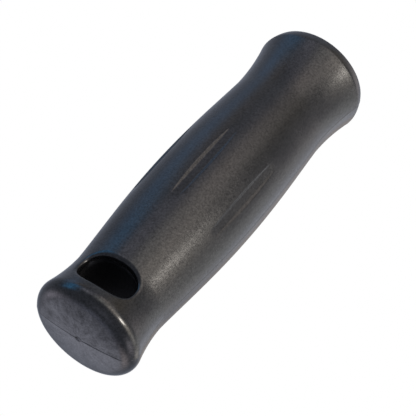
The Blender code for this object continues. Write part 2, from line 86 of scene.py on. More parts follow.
# ---- node graphs -------------------------------------------------------------------------------
class Graph:
    """Short way of adding and joining shader nodes in one tree."""

    def __init__(self, tree: bpy.types.NodeTree) -> None:
        """Start with an empty tree.

        Args:
            tree: the node tree of a material or a world.
        """
        self.tree = tree
        tree.nodes.clear()

    def add(self, kind: str, **settings: object) -> bpy.types.Node:
        """Add a node.

        Args:
            kind: Blender's type name without the ShaderNode prefix.
            **settings: attributes, set as they are.

        Returns:
            The new node.
        """
        node = self.tree.nodes.new("ShaderNode" + kind)
        for key, value in settings.items():
            setattr(node, key, value)
        return node

    def feed(self, socket: bpy.types.NodeSocket, value: object) -> None:
        """Link a socket to the value, or set the value on it when it is a plain number.

        Args:
            socket: the input to fill.
            value: an output socket, a number or a tuple of numbers.
        """
        if isinstance(value, bpy.types.NodeSocket):
            self.tree.links.new(value, socket)
        else:
            socket.default_value = value

    def math(self, operation: str, *values: object) -> bpy.types.NodeSocket:
        """Return the output of a Math node whose inputs are the values in order."""
        node = self.add("Math", operation=operation)
        for index, value in enumerate(values):
            self.feed(node.inputs[index], value)
        return node.outputs[0]

    def vector_math(self, operation: str, first: object, second: object = (0, 0, 0),
                    output: str = "Vector") -> bpy.types.NodeSocket:
        """Return the named output of a Vector Math node of one or two inputs."""
        node = self.add("VectorMath", operation=operation)
        self.feed(node.inputs[0], first)
        self.feed(node.inputs[1], second)
        return node.outputs[output]

    def split(self, place: object) -> tuple[bpy.types.NodeSocket, ...]:
        """Return a vector's X, Y and Z."""
        node = self.add("SeparateXYZ")
        self.feed(node.inputs[0], place)
        return tuple(node.outputs)

    def joined(self, *values: object) -> bpy.types.NodeSocket:
        """Return the vector of the values, with 0 for those that are left out."""
        node = self.add("CombineXYZ")
        for index, value in enumerate(values):
            self.feed(node.inputs[index], value)
        return node.outputs[0]

    def spread(self, value: object, low: float, high: float, new_low: float,
               new_high: float) -> bpy.types.NodeSocket:
        """Return the value carried from one range to another and held inside it."""
        node = self.add("MapRange")
        for index, part in enumerate((value, low, high, new_low, new_high)):
            self.feed(node.inputs[index], part)
        return node.outputs[0]

    def swing(self, noise: object, low: float, high: float) -> bpy.types.NodeSocket:
        """Return noise stretched so that it goes from low to high."""
        return self.spread(noise, *NOISE_RANGE, low, high)

    def noise(self, place: object, size: float, detail: float = 3.0,
              roughness: float = 0.55) -> bpy.types.NodeSocket:
        """Return noise whose blotches are about one size across.

        Args:
            place: coordinates in metres.
            size: width of a blotch in metres.
            detail: octaves.
            roughness: weight of the finer octaves.

        Returns:
            The noise's value socket, from 0 to 1.
        """
        node = self.add("TexNoise")
        self.feed(node.inputs["Vector"], place)
        node.inputs["Scale"].default_value = 1 / size
        node.inputs["Detail"].default_value = detail
        node.inputs["Roughness"].default_value = roughness
        return node.outputs[0]

    def mixed(self, share: object, first: object, second: object) -> bpy.types.NodeSocket:
        """Return a colour that goes from the first to the second as share goes from 0 to 1."""
        node = self.add("Mix", data_type="RGBA")
        self.feed(node.inputs[0], share)
        self.feed(node.inputs[6], first)
        self.feed(node.inputs[7], second)
        return node.outputs[2]

    def bumped(self, height: object, depth: float, onto: object = None) -> bpy.types.NodeSocket:
        """Return a normal raised by a height from 0 to 1 over a depth in metres."""
        node = self.add("Bump")
        node.inputs["Distance"].default_value = depth
        self.feed(node.inputs["Height"], height)
        if onto is not None:
            self.feed(node.inputs["Normal"], onto)
        return node.outputs[0]

    def show(self, kind: str, shader: bpy.types.Node) -> None:
        """Add an output node of a kind and feed the shader to it."""
        self.feed(self.add(kind).inputs["Surface"], shader.outputs[0])


# ---- finishes ----------------------------------------------------------------------------------
@dataclass(frozen=True)
class Finish:
    """A worked surface: colour, gloss, grain and the lines its making left."""

    name: str
    colour: tuple[float, float, float]
    stain: tuple[float, float, float]
    roughness: tuple[float, float]
    metallic: float = 0.0
    ior: float = 1.5
    blotch: float = 4.0 * MM
    grain: float = 0.15 * MM
    grain_depth: float = 0.004 * MM
    stain_range: tuple[float, float] = (0.35, 0.65)
    flicker: float = 0.03
    marks: Marks = Marks.NONE
    mark_pitch: float = 0.22 * MM
    mark_depth: float = 0.006 * MM

    def line_place(self, graph: Graph, place: object) -> bpy.types.NodeSocket:
        """Return coordinates that stay the same along the finish's lines.

        Args:
            graph: the material's graph.
            place: object coordinates.

        Returns:
            Radius and height for turned work, position across the axis for drawn work.
        """
        x, y, z = graph.split(place)
        if self.marks is Marks.DRAWN:
            return graph.joined(x, y)
        squares = [graph.math("MULTIPLY", part, part) for part in (x, y)]
        return graph.joined(graph.math("SQRT", graph.math("ADD", *squares)), 0.0, z)

    def tone(self, graph: Graph, blotches: object) -> bpy.types.NodeSocket:
        """Return the colour, which goes over to the stain where the blotches are bright."""
        share = graph.spread(blotches, *self.stain_range, 0.0, 1.0)
        return graph.mixed(share, (*self.colour, 1), (*self.stain, 1))

    def gloss(self, graph: Graph, blotches: object, fine: object) -> bpy.types.NodeSocket:
        """Return the roughness, which drifts with the blotches and flickers with the grain."""
        return graph.math("ADD", graph.swing(blotches, *self.roughness),
                          graph.swing(fine, -self.flicker, self.flicker))

    def shade(self, graph: Graph, shader: bpy.types.Node, place: object) -> None:
        """Feed the Principled shader's colour, roughness and normal.

        Args:
            graph: the material's graph.
            shader: its Principled node.
            place: object coordinates.
        """
        blotches = graph.noise(place, self.blotch)
        fine = graph.noise(place, self.grain)
        graph.feed(shader.inputs["Base Color"], self.tone(graph, blotches))
        graph.feed(shader.inputs["Roughness"], self.gloss(graph, blotches, fine))
        normal = graph.bumped(fine, self.grain_depth)
        if self.marks is not Marks.NONE:
            lines = graph.noise(self.line_place(graph, place), self.mark_pitch, detail=2.0)
            normal = graph.bumped(lines, self.mark_depth, normal)
        graph.feed(shader.inputs["Normal"], normal)

    def material(self) -> bpy.types.Material:
        """Return the finish as a Blender material."""
        made = bpy.data.materials.new(self.name)
        made.use_nodes = True
        graph = Graph(made.node_tree)
        shader = graph.add("BsdfPrincipled")
        shader.inputs["Metallic"].default_value = self.metallic
        shader.inputs["IOR"].default_value = self.ior
        place = graph.add("TexCoord").outputs["Object"]
        self.shade(graph, shader, place)
        graph.show("OutputMaterial", shader)
        made.diffuse_color = (*self.colour, 1.0)
        return made


@dataclass(frozen=True)
class MouldedPlastic(Finish):
    """Mould grain all over, flow marks on the dome, a ridge worn smooth, dull inner walls with
    painted shade, painted shade along the dome's seam and a painted highlight on one of its halves.
    """

    stain_range: tuple[float, float] = (0.4, 0.7)
    flicker: float = 0.05
    dome_height: float = 0.1252
    dome_lead: float = 0.5 * MM
    flow_depth: float = 0.05 * MM
    flow_reach: float = 17.0 * MM
    flow_size: float = 0.22
    flow_sheen: float = 0.45
    # painted highlight: one mould half of the dome mirrors this much more and the other this much
    # less
    painted_half_sheen: float = 0.2
    # painted shade along the dome's seam groove: the specular level drops by this much
    seam_painted_shade: float = 0.55
    seam_core: float = 0.1 * MM
    seam_width: float = 0.3 * MM
    ridge_height: float = 0.1205
    ridge_lead: float = 3.5 * MM
    ridge_polish: float = 0.09
    ridge_grain: float = 0.3
    wall_radius: float = 13.6 * MM
    wall_lead: float = 2.0 * MM
    wall_dullness: float = 0.35
    # painted shade: the inner walls of slot and bore keep only this share of their mirror, standing
    # in for the shade inside them
    wall_painted_shade: float = 0.05
    speck: float = 0.6 * MM
    speck_sheen: float = 0.35
    orange_peel: float = 1.6 * MM
    peel_depth: float = 0.02 * MM

    def dome_marks(self, graph: Graph, place: object, reach: object) -> bpy.types.NodeSocket:
        """Return noise drawn out along the radius, as plastic flows from a gate in the middle.

        Its coordinates are the direction round the gate and the distance over the flow reach.

        Args:
            graph: the material's graph.
            place: object coordinates with the height left out.
            reach: distance from the axis.

        Returns:
            The noise's value socket.
        """
        ray = graph.joined(0.0, 0.0, graph.math("DIVIDE", reach, self.flow_reach))
        drawn_out = graph.vector_math("ADD", graph.vector_math("NORMALIZE", place), ray)
        return graph.noise(drawn_out, self.flow_size, detail=4.0, roughness=0.6)

    def sheen(self, graph: Graph, place: object, across: object, on_dome: object, on_dull_shaded_wall: object,
              swirl: object) -> bpy.types.NodeSocket:
        """Return how strongly the surface mirrors: specks, flow marks, a painted highlight on one
        mould half of the dome, painted shade along its seam and painted shade on the inner walls.

        Args:
            graph: the material's graph.
            place: object coordinates.
            across: signed distance from the mould's parting plane.
            on_dome: 1 on the dome, 0 elsewhere.
            on_dull_shaded_wall: 1 on the inner walls, 0 elsewhere.
            swirl: the dome's flow noise.

        Returns:
            The specular level.
        """
        specks = graph.swing(graph.noise(place, self.speck, detail=2.0, roughness=0.6),
                             1 - self.speck_sheen, 1 + self.speck_sheen)
        # painted highlight: the +Y mould half of the dome mirrors more and the -Y half less, as
        # light falls on their drafts
        halves = graph.spread(across, -self.seam_width, self.seam_width, -self.painted_half_sheen,
                              self.painted_half_sheen)
        flow = graph.swing(swirl, -self.flow_sheen, self.flow_sheen)
        # painted shade: the specular level drops along the seam's groove on the dome, where shade
        # falls in it
        seam_shade = graph.spread(graph.math("ABSOLUTE", across), self.seam_core, self.seam_width,
                            -self.seam_painted_shade, 0.0)
        # the dome's flow marks together with its painted highlight and painted shade
        marks = graph.math("ADD", halves, graph.math("ADD", flow, seam_shade))
        dome = graph.math("ADD", graph.math("MULTIPLY", marks, on_dome), 1.0)
        # painted shade: the inner walls mirror almost nothing, as if shade fell inside the slot and
        # bore; the roughness added there is their real dull finish
        wall = graph.spread(on_dull_shaded_wall, 0.0, 1.0, 1.0, self.wall_painted_shade)
        return graph.math("MULTIPLY", graph.math("MULTIPLY", specks, dome),
                          graph.math("MULTIPLY", wall, PLAIN_MIRROR))

    def shade(self, graph: Graph, shader: bpy.types.Node, place: object) -> None:
        """Feed the shader from grain, orange peel, stains, wear, the dome's flow marks, and painted
        shade and a painted highlight in its specular level.

        Args:
            graph: the material's graph.
            shader: its Principled node.
            place: object coordinates.
        """
        x, y, height = graph.split(place)
        flat = graph.joined(x, y)
        reach = graph.vector_math("LENGTH", flat, output="Value")
        on_dome = graph.spread(height, self.dome_height, self.dome_height + self.dome_lead,
                               0.0, 1.0)
        on_ridge = graph.spread(height, self.ridge_height - self.ridge_lead, self.ridge_height,
                                0.0, 1.0)
        # mask of the inner walls: more roughness for their dull finish, and painted shade in their
        # specular level
        deep = graph.spread(reach, self.wall_radius - self.wall_lead, self.wall_radius, 1.0, 0.0)
        on_dull_shaded_wall = graph.math("MULTIPLY", deep, graph.math("SUBTRACT", 1.0, on_dome))
        swirl = self.dome_marks(graph, flat, reach)
        peel = graph.noise(place, self.orange_peel, detail=2.0)
        fine = graph.noise(place, self.grain, roughness=0.7)
        blotches = graph.noise(place, self.blotch, detail=4.0)
        graph.feed(shader.inputs["Base Color"], self.tone(graph, blotches))
        graph.feed(shader.inputs["Specular IOR Level"],
                   self.sheen(graph, place, y, on_dome, on_dull_shaded_wall, swirl))
        worn = graph.math("SUBTRACT", self.gloss(graph, blotches, fine),
                          graph.math("MULTIPLY", on_ridge, self.ridge_polish))
        graph.feed(shader.inputs["Roughness"],
                   graph.math("ADD", worn, graph.math("MULTIPLY", on_dull_shaded_wall, self.wall_dullness)))
        left = graph.spread(on_ridge, 0.0, 1.0, 1.0, self.ridge_grain)
        grain = graph.math("MULTIPLY", fine, left)
        normal = graph.bumped(peel, self.peel_depth, graph.bumped(grain, self.grain_depth))
        marks = graph.bumped(graph.math("MULTIPLY", swirl, on_dome), self.flow_depth, normal)
        graph.feed(shader.inputs["Normal"], marks)


PLASTIC = MouldedPlastic("satin_black_moulding", (0.0035, 0.0036, 0.004), (0.0065, 0.0065, 0.007),
                         (0.18, 0.25), ior=1.47, blotch=9.0 * MM, grain=0.34 * MM,
                         grain_depth=0.02 * MM)
STAINLESS = Finish("turned_stainless", (0.52, 0.52, 0.51), (0.44, 0.44, 0.44), (0.22, 0.34), 1.0,
                   marks=Marks.TURNED)
ALLOY = Finish("anodised_alloy", (0.36, 0.37, 0.39), (0.31, 0.32, 0.34), (0.34, 0.46), 1.0,
               marks=Marks.TURNED, mark_pitch=0.3 * MM)
RUBBER = Finish("black_seal_rubber", (0.012, 0.012, 0.013), (0.022, 0.021, 0.02), (0.6, 0.78),
                grain=0.25 * MM, grain_depth=0.015 * MM)
ACETAL = Finish("turned_acetal", (0.74, 0.74, 0.7), (0.66, 0.65, 0.6), (0.35, 0.5),
                marks=Marks.TURNED, mark_depth=0.004 * MM)
NYLON = Finish("stamped_grey_nylon", (0.2, 0.2, 0.21), (0.15, 0.15, 0.155), (0.42, 0.56),
               grain_depth=0.008 * MM)
SPRING = Finish("oiled_spring_steel", (0.2, 0.2, 0.21), (0.12, 0.115, 0.11), (0.3, 0.42), 1.0,
                marks=Marks.DRAWN)
SCREW = Finish("plated_screw_steel", (0.56, 0.55, 0.52), (0.46, 0.46, 0.44), (0.2, 0.32), 1.0,
               blotch=1.5 * MM, marks=Marks.TURNED, mark_depth=0.003 * MM)


# ---- surfaces ----------------------------------------------------------------------------------
class Lathe:
    """A closed surface of rows by columns round Z, with windows that other loops continue."""

    def __init__(self, points: np.ndarray, ring: bool = False) -> None:
        """Start from a grid of points.

        Args:
            points: array (rows, columns, 3). The profile runs down the outside, so that down
                crossed with the way round points outwards.
            ring: join the last row to the first. Otherwise both end rows lie on the axis.
        """
        rows, columns = points.shape[:2]
        self.index = np.arange(rows * columns).reshape(rows, columns)
        self.points = [points.reshape(-1, 3)]
        self.count = rows * columns
        self.kept = np.ones((rows if ring else rows - 1, columns), bool)
        self.extra: list[np.ndarray] = []

    def window(self, first: int, last: int, left: int, right: int) -> np.ndarray:
        """Open a window and return its rim.

        Args:
            first: top row of the window.
            last: bottom row.
            left: first column.
            right: last column.

        Returns:
            Point numbers down the left side, along the bottom, up the right side and back.
        """
        self.kept[first:last, left:right] = False
        grid = self.index
        return np.concatenate([grid[first:last, left], grid[last, left:right],
                               grid[last:first:-1, right], grid[first, right:left:-1]])

    def place_of(self, loop: np.ndarray) -> np.ndarray:
        """Return the coordinates of a loop's points."""
        return np.concatenate(self.points)[loop]

    def grow(self, loop: np.ndarray, rings: np.ndarray) -> np.ndarray:
        """Continue a loop through further rings of points.

        Args:
            loop: point numbers of the loop to start from.
            rings: array (rings, points in the loop, 3).

        Returns:
            Point numbers of the last ring.
        """
        for ring in rings:
            fresh = self.count + np.arange(len(ring))
            self.points.append(ring)
            self.count += len(ring)
            self.extra.append(np.stack([loop, np.roll(loop, -1), np.roll(fresh, -1), fresh], 1))
            loop = fresh
        return loop

    def around(self, rows: np.ndarray, turns: np.ndarray, middle: float,
               reach: float) -> np.ndarray:
        """Open a window round a turn and return its rim.

        Args:
            rows: row numbers, of which the first and last bound the window.
            turns: the columns' turns in radians.
            middle: degrees to the window's middle.
            reach: degrees from there to each side.

        Returns:
            The rim's point numbers.
        """
        sides = [int(np.argmin(np.abs(np.degrees(turns) - turn)))
                 for turn in (middle - reach, middle + reach)]
        return self.window(rows[0], rows[-1], *sides)

    def mesh(self, name: str) -> bpy.types.Mesh:
        """Weld the points that meet and return the mesh.

        Args:
            name: the mesh's name.

        Returns:
            A smooth-shaded mesh without loose points, whose collapsed quads are triangles.
        """
        grid = self.index
        below = np.roll(grid, -1, 0)[:len(self.kept)]
        above = grid[:len(self.kept)]
        quads = np.stack([above, below, np.roll(below, -1, 1), np.roll(above, -1, 1)], 2)
        faces = np.concatenate([quads[self.kept]] + self.extra)
        points = np.concatenate(self.points)
        keys = np.rint(points / WELD).astype(np.int64)
        _, first, number = np.unique(keys, axis=0, return_index=True, return_inverse=True)
        faces = number.reshape(-1)[faces]
        used, faces = np.unique(faces, return_inverse=True)
        faces = faces.reshape(-1, 4)
        points = points[first[used]]
        same = faces == np.roll(faces, -1, 1)
        whole = faces[~same.any(1)]
        once = same.sum(1) == 1
        three = [np.delete(faces[same[:, side] & once], side, 1) for side in range(4)]
        mesh = bpy.data.meshes.new(name)
        mesh.from_pydata(points.tolist(), [], whole.tolist() + np.concatenate(three).tolist())
        mesh.validate()
        mesh.shade_smooth()
        return mesh


def wheel(steps: np.ndarray) -> np.ndarray:
    """Return columns all the way round from a half turn's, mirrored so both halves match.

    Args:
        steps: radians from 0 to pi along the last axis, both ends among them.

    Returns:
        Radians from -pi up to but not including pi.
    """
    return np.concatenate([-steps[..., :0:-1], steps[..., :-1]], -1)


def spun(radius: np.ndarray | float, height: np.ndarray | float, turn: np.ndarray) -> np.ndarray:
    """Return points at a radius and height about Z, turned by an angle; the arrays broadcast."""
    radius, height, turn = np.broadcast_arrays(radius, height, turn)
    return np.stack([radius * np.cos(turn), radius * np.sin(turn), height], -1)


def rounded(before: np.ndarray, corner: np.ndarray, after: np.ndarray) -> np.ndarray:
    """Return the three inner points of a quadratic curve from before to after, by way of corner."""
    t = np.array([0.25, 0.5, 0.75])[:, None]
    return (1 - t) ** 2 * before + 2 * t * (1 - t) * corner + t ** 2 * after


def stepped(corners: list[tuple[float, float]], spacing: float, bevel: float = 0.0) -> np.ndarray:
    """Walk a polyline at even steps, with each inner corner cut by a small round.

    Each corner is a quadratic curve between the points one bevel before and after it.

    Args:
        corners: (radius, height) points.
        spacing: longest step along the straight runs.
        bevel: how far the round reaches each way.

    Returns:
        Array (points, 2).
    """
    places = np.array(corners, float)
    runs = np.linalg.norm(np.diff(places, axis=0), axis=1)
    ways = np.diff(places, axis=0) / runs[:, None]
    bends = np.r_[False, np.linalg.norm(np.diff(ways, axis=0), axis=1) > 1e-6, False]
    reach = np.minimum(bevel, runs / 3)
    parts = []
    for index, run in enumerate(runs):
        start, end = places[index], places[index + 1]
        cut_start = reach[index] / run if bends[index] else 0.0
        cut_end = reach[index] / run if bends[index + 1] else 0.0
        count = max(2, int(np.ceil(run / spacing)) + 1)
        share = np.linspace(cut_start, 1 - cut_end, count)[:, None]
        skip = 1 if index and not bends[index] else 0
        parts.append((start + (end - start) * share)[skip:])
        if bends[index + 1]:
            after = end + ways[index + 1] * reach[index + 1]
            parts.append(rounded(parts[-1][-1], end, after))
    return np.concatenate(parts)


def circle_rings(loop: np.ndarray, centre: np.ndarray, radius: float,
                 depths: list[float]) -> np.ndarray:
    """Return rings of a round hole that a flat window's rim closes in on.

    Each rim point goes straight towards the hole's centre until it meets the circle.

    Args:
        loop: coordinates of the rim, (points, 3).
        centre: middle of the hole on the flat face.
        radius: the hole's radius.
        depths: heights above the flat face of the successive rings.

    Returns:
        Array (rings, points, 3).
    """
    away = (loop - centre)[:, :2]
    away = away / np.linalg.norm(away, axis=1, keepdims=True) * radius
    rings = [np.column_stack([centre[0] + away[:, 0], centre[1] + away[:, 1],
                              np.full(len(away), centre[2] + depth)]) for depth in depths]
    return np.stack(rings)


# ---- pieces ------------------------------------------------------------------------------------
@dataclass
class Cartridge:
    """Sizes of the bearing cartridge that the grip, the sleeve and the spindle share."""

    journal: float = 6.0 * MM
    foot_thickness: float = 3.0 * MM
    sleeve_base: float = 4.6 * MM
    flange_thickness: float = 2.2 * MM
    flange_radius: float = 14.9 * MM
    sleeve_inner: float = 8.0 * MM
    sleeve_outer: float = 9.8 * MM
    sleeve_waist: float = 7.2 * MM
    sleeve_end: float = 101.4 * MM
    seal_pocket: float = 8.6 * MM
    seal_top: float = 7.6 * MM
    lower_shoulder: float = 22.2 * MM
    upper_shoulder: float = 79.3 * MM
    spindle_end: float = 100.4 * MM
    clip_base: float = 96.9 * MM
    clip_thickness: float = 1.0 * MM
    screw_head_base: float = 2.6 * MM
    screw_head_height: float = 1.7 * MM
    hole_rows: tuple[float, ...] = (14.7, 14.0, 13.2, 12.5, 11.8, 11.0, 10.3)   # in mm
    bore_radius: float = 10.1 * MM
    bore_end: float = 101.9 * MM
    recess_radius: float = 15.2 * MM
    recess_floor: float = 8.2 * MM
    screw_circle: float = 12.5 * MM
    screw_hole: float = 1.55 * MM
    screw_turns: tuple[float, ...] = (30.0, 150.0, -90.0)
    screw_depth: float = 16.3 * MM

    @property
    def hole_radii(self) -> np.ndarray:
        """Radii, from the outside in, of the rows that cross the screw holes on a flat face."""
        return np.array(self.hole_rows) * MM

    def screw_places(self, height: float) -> list[np.ndarray]:
        """Return the middles of the screw holes at a height."""
        turns = np.radians(self.screw_turns)
        return [np.array([self.screw_circle * np.cos(t), self.screw_circle * np.sin(t), height])
                for t in turns]

    def drill(self, lathe: Lathe, rows: np.ndarray, turns: np.ndarray, height: float,
              depths: list[float]) -> list[np.ndarray]:
        """Cut the three screw holes into a flat face of a piece.

        Args:
            lathe: the piece's surface.
            rows: its (radius, height) profile.
            turns: its columns' turns in radians.
            height: height of the face.
            depths: heights above the face of a hole's successive rings.

        Returns:
            Point numbers of each hole's last ring.
        """
        radii = self.hole_radii
        on_face = np.flatnonzero(np.isclose(rows[:, 1], height) & (rows[:, 0] > radii[-1] - WELD)
                                 & (rows[:, 0] < radii[0] + WELD))
        ends = []
        for turn, middle in zip(self.screw_turns, self.screw_places(height)):
            rim = lathe.around(on_face, turns, turn, HOLE_WINDOW)
            rings = circle_rings(lathe.place_of(rim), middle, self.screw_hole, depths)
            ends.append(lathe.grow(rim, rings))
        return ends


@dataclass
class Piece:
    """A finished piece: its name, body, slot, finish and node, and the sizes it shares."""

    name: str
    body: Body
    slot: Slot
    finish: Finish
    node: str
    cartridge: Cartridge = field(default_factory=Cartridge)

    def surface(self) -> Lathe:
        """Return the piece's closed surface."""
        raise NotImplementedError

    def build(self) -> bpy.types.Object:
        """Make the object, dress it, and tie it to the frame.

        Returns:
            The finished object, at the origin, with its place in its mesh.
        """
        mesh = self.surface().mesh(self.name)
        mesh.set_sharp_from_angle(angle=np.radians(SHARP_ANGLE))
        mesh.materials.append(self.finish.material())
        thing = bpy.data.objects.new(self.name, mesh)
        bpy.context.scene.collection.objects.link(thing)
        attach(thing, self.body.value)
        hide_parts(self.node)
        mesh.calc_loop_triangles()
        LOG.info("%s: %d triangles on %s", self.name, len(mesh.loop_triangles), self.body.value)
        return thing


@dataclass
class Spindle(Piece):
    """Stepped spindle: circlip groove, relieved waist, foot with spanner flats, threaded socket."""

    relief: float = 0.3 * MM
    groove_depth: float = 0.8 * MM
    end_chamfer: float = 0.8 * MM
    foot_radius: float = 9.0 * MM
    flat_reach: float = 8.0 * MM
    socket: float = 3.4 * MM
    socket_depth: float = 20.0 * MM
    socket_chamfer: float = 0.8 * MM
    drill_point: float = 1.9 * MM
    thread_pitch: float = 1.25 * MM
    thread_depth: float = 0.5 * MM
    thread_end: float = 16.0 * MM
    rows_per_pitch: int = 8
    edge: float = 0.12 * MM

    def outline(self) -> np.ndarray:
        """Return the (radius, height) profile from the top of the spindle to the socket's end."""
        c = self.cartridge
        waist, groove = c.journal - self.relief, c.journal - self.groove_depth
        top, low = c.clip_base + c.clip_thickness + RUNNING_GAP, c.clip_base - RUNNING_GAP
        outside = stepped([
            (0, c.spindle_end), (c.journal - self.end_chamfer, c.spindle_end),
            (c.journal, c.spindle_end - self.end_chamfer), (c.journal, top), (groove, top),
            (groove, low), (c.journal, low), (c.journal, c.upper_shoulder),
            (waist, c.upper_shoulder - self.relief), (waist, c.lower_shoulder + self.relief),
            (c.journal, c.lower_shoulder), (c.journal, c.foot_thickness),
            (self.foot_radius, c.foot_thickness), (self.foot_radius, 0),
            (self.socket + self.socket_chamfer, 0), (self.socket, self.socket_chamfer)],
            4 * MM, self.edge)
        steps = int(self.thread_end / (self.thread_pitch / self.rows_per_pitch))
        climb = np.linspace(self.socket_chamfer, self.thread_end, steps)[1:]
        thread = np.stack([np.full(len(climb), self.socket), climb], 1)
        inside = np.array([(self.socket, self.socket_depth),
                           (0, self.socket_depth + self.drill_point)])
        return np.concatenate([outside, thread, inside])

    def surface(self) -> Lathe:
        """Return the spindle's closed surface.

        The foot's radius is held under flat reach over |sin turn|, and the socket's radius is
        its tapping size plus a triangle wave of height over pitch less the turn, which is the
        thread's helix.
        """
        rows = self.outline()
        flats = np.arcsin(self.flat_reach / self.foot_radius)
        turns = wheel(np.union1d(np.linspace(0, np.pi, 61), [flats, np.pi - flats]))
        radius = np.repeat(rows[:, :1], len(turns), 1)
        height = rows[:, 1:]
        limit = np.minimum(1, self.flat_reach / self.foot_radius
                           / np.maximum(np.abs(np.sin(turns)), 0.1))
        reach = self.cartridge.journal + 0.5 * MM
        on_foot = np.clip((radius - reach) / (self.foot_radius - reach), 0, 1)
        radius = radius * (1 + on_foot * (limit - 1))
        wave = height / self.thread_pitch - turns / (2 * np.pi)
        cut = 1 - 2 * np.abs(wave % 1 - 0.5)
        fade = np.clip((height - self.socket_chamfer) / MM, 0, 1)
        fade = fade * np.clip((self.thread_end - height) / MM, 0, 1)
        in_socket = (np.arange(len(rows))[:, None] > np.argmin(rows[:, 1])) \
            & (np.abs(radius - self.socket) < self.edge)
        radius = radius + in_socket * fade * self.thread_depth * cut
        return Lathe(spun(radius, height, turns))


@dataclass
class Sleeve(Piece):
    """Flanged bearing sleeve: shoulders inside for the bushes, three screw holes in the flange."""

    edge: float = 0.15 * MM

    def surface(self) -> Lathe:
        """Return the sleeve's closed surface, whose screw holes go through the flange."""
        c = self.cartridge
        flange_top = c.sleeve_base + c.flange_thickness
        holes = c.hole_radii
        corners = [(c.sleeve_inner, c.sleeve_end), (c.sleeve_outer, c.sleeve_end),
                   (c.sleeve_outer, flange_top)]
        corners += [(radius, flange_top) for radius in holes[::-1]]
        corners += [(c.flange_radius, flange_top), (c.flange_radius, c.sleeve_base)]
        corners += [(radius, c.sleeve_base) for radius in holes]
        corners += [(c.seal_pocket, c.sleeve_base), (c.seal_pocket, c.seal_top),
                    (c.sleeve_inner, c.seal_top), (c.sleeve_inner, c.lower_shoulder),
                    (c.sleeve_waist, c.lower_shoulder), (c.sleeve_waist, c.upper_shoulder),
                    (c.sleeve_inner, c.upper_shoulder), (c.sleeve_inner, c.sleeve_end)]
        rows = stepped(corners, 8 * MM, self.edge)[:-1]
        turns = wheel(np.radians(np.linspace(0, 180, 76)))
        lathe = Lathe(spun(rows[:, :1], rows[:, 1:], turns), ring=True)
        middle = c.sleeve_base + c.flange_thickness / 2
        for face in (flange_top, c.sleeve_base):
            c.drill(lathe, rows, turns, face, [0.0, middle - face])
        return lathe


@dataclass
class Screw(Piece):
    """Pan-head screw with a six-sided key socket and a coarse thread for plastic."""

    turn: int = 0
    head_radius: float = 2.4 * MM
    head_round: float = 0.9 * MM
    shank: float = 1.25 * MM
    root: float = 0.95 * MM
    length: float = 11.0 * MM
    point: float = 1.0 * MM
    pitch: float = 1.1 * MM
    thread_rows: int = 61
    runout: float = 0.4 * MM
    crest_power: float = 1.5
    edge: float = 0.1 * MM
    key_across: float = 1.9 * MM
    key_depth: float = 1.0 * MM

    def surface(self) -> Lathe:
        """Return the screw's closed surface.

        The shank's radius is a sharpened cosine of height over pitch less the turn, and the
        key socket's radius is half its width over the cosine of the turn from each flat's middle.
        """
        c = self.cartridge
        seat = c.screw_head_base + c.screw_head_height
        tip = seat + self.length
        climb = np.linspace(tip - self.point, seat + self.runout, self.thread_rows)
        shank = np.stack([np.full(len(climb), self.root), climb], 1)
        bend = np.linspace(0, np.pi / 2, 8)
        dome = np.stack([self.head_radius - self.head_round * (1 - np.cos(bend)),
                         c.screw_head_base + self.head_round * (1 - np.sin(bend))], 1)
        key, face = self.key_across / 2, c.screw_head_base
        socket = [(1.3 * key, face), (1.02 * key, face), (key, face + 0.04 * MM),
                  (key, face + self.key_depth), (0.5 * key, face + self.key_depth + self.edge),
                  (0, face + self.key_depth + 2 * self.edge)]
        head = [(self.root, seat), (self.head_radius - self.edge, seat),
                (self.head_radius, seat - self.edge)]
        rows = np.concatenate([[(0, tip)], shank, head, dome, socket])
        turns = wheel(np.linspace(0, np.pi, 37))
        hexagon = 1 / np.cos((turns + 2 * np.pi) % (np.pi / 3) - np.pi / 6)
        radius = np.repeat(rows[:, :1], len(turns), 1)
        number = np.arange(len(rows))[:, None]
        flat = (np.abs(radius - key) < 0.35 * key) & (number >= len(rows) - len(socket))
        radius = np.where(flat, radius * hexagon, radius)
        wave = np.cos(2 * np.pi * (rows[:, 1:] / self.pitch - turns / (2 * np.pi)))
        threaded = (number > 0) & (number <= self.thread_rows)
        crest = (self.shank - self.root) * np.clip(wave, 0, 1) ** self.crest_power
        radius = radius + threaded * crest
        middle = c.screw_places(0.0)[self.turn]
        return Lathe(spun(radius, rows[:, 1:], turns) + middle)


